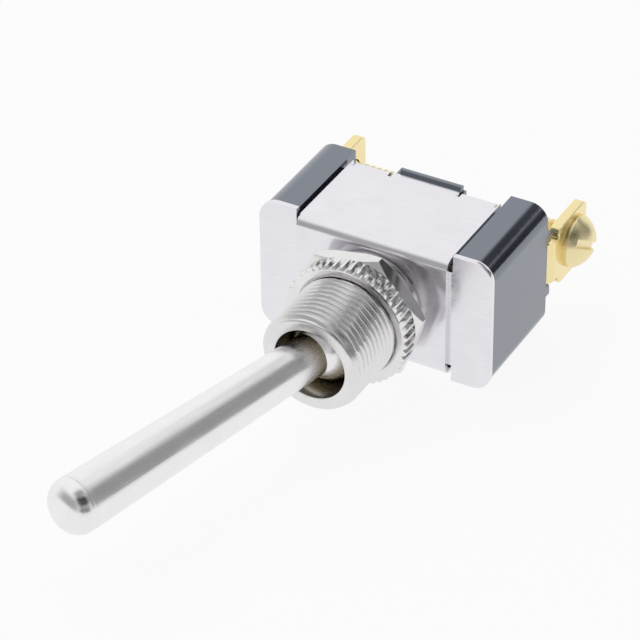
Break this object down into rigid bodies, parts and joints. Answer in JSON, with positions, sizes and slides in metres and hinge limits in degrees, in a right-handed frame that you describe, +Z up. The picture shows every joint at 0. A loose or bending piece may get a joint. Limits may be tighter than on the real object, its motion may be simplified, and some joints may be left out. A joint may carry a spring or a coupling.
{
  "type": "panel toggle switch",
  "caption": "Panel-mount toggle switch: tilting metal lever in a threaded bushing with a hex nut and a knurled nut, moulded body in a steel strap, screw terminals behind.",
  "frame": {"origin": "on the bushing axis, in the front face of the frame strap, the face the panel bears on", "axes": "-Y out of the panel along the bushing, +X along the body towards the contact side, +Z up across the body"},
  "size_m": [0.0336, 0.0708, 0.0162],
  "materials": {
    "phenolic": "glossy moulded phenolic",
    "plated_sheet": "bright zinc plate, lightly brushed",
    "nickel": "satin nickel plate on turned metal",
    "lever_nickel": "polished nickel plate",
    "spring_steel": "plain steel",
    "nylon": "natural nylon",
    "fibre": "vulcanised fibre sheet",
    "brass": "bright brass",
    "contact_silver": "silver-faced rivet"
  },
  "bodies": {
    "housing": {"base": "phenolic", "front_plate": "plated_sheet", "frame_strap": "plated_sheet", "bushing": "nickel", "insulating_sheet": "fibre", "fulcrum_bracket": "brass", "fulcrum_rivet": "brass", "fixed_contact": "contact_silver", "terminal_left": "brass", "terminal_right": "brass"},
    "handle": {"lever": "lever_nickel", "pivot_pin": "spring_steel", "plunger_spring": "spring_steel"},
    "plunger": {"plunger": "nylon"},
    "rocker": {"rocker_contact": "brass", "moving_contact": "contact_silver"},
    "hex_nut": {"hex_nut": "nickel"},
    "knurled_nut": {"knurled_nut": "nickel"},
    "screw_left": {"terminal_screw_left": "brass"},
    "screw_right": {"terminal_screw_right": "brass"}
  },
  "joints": [
    {"name": "lever_throw", "type": "hinge", "parent": "housing", "child": "handle", "pos_m": [0, -0.009, 0], "axis": [0, 0, 1], "range_deg": [0, 28.2]},
    {"name": "plunger_slide", "type": "slide", "parent": "handle", "child": "plunger", "axis": [-0.2436, -0.9699, 0], "range_m": [0, 0.0007], "stiffness_N_per_m": 800, "springref_m": -0.002, "deforming": ["plunger_spring"]},
    {"name": "rocker_tilt", "type": "hinge", "parent": "housing", "child": "rocker", "pos_m": [0, 0.0082, 0], "axis": [0, 0, 1], "range_deg": [-16.01, 0]},
    {"name": "hex_nut_turn", "type": "hinge", "parent": "housing", "child": "hex_nut", "pos_m": [0, -0.003, 0], "axis": [0, 1, 0], "continuous": true},
    {"name": "knurled_nut_turn", "type": "hinge", "parent": "housing", "child": "knurled_nut", "pos_m": [0, -0.005, 0], "axis": [0, 1, 0], "continuous": true},
    {"name": "screw_left_turn", "type": "hinge", "parent": "housing", "child": "screw_left", "pos_m": [-0.0144, 0.02021, 0], "axis": [1, 0, 0], "continuous": true},
    {"name": "screw_right_turn", "type": "hinge", "parent": "housing", "child": "screw_right", "pos_m": [0.0144, 0.02021, 0], "axis": [1, 0, 0], "continuous": true}
  ],
  "couplings": [
    {"joint": "rocker_tilt", "follows": "lever_throw", "ratio": -0.56738}
  ]
}
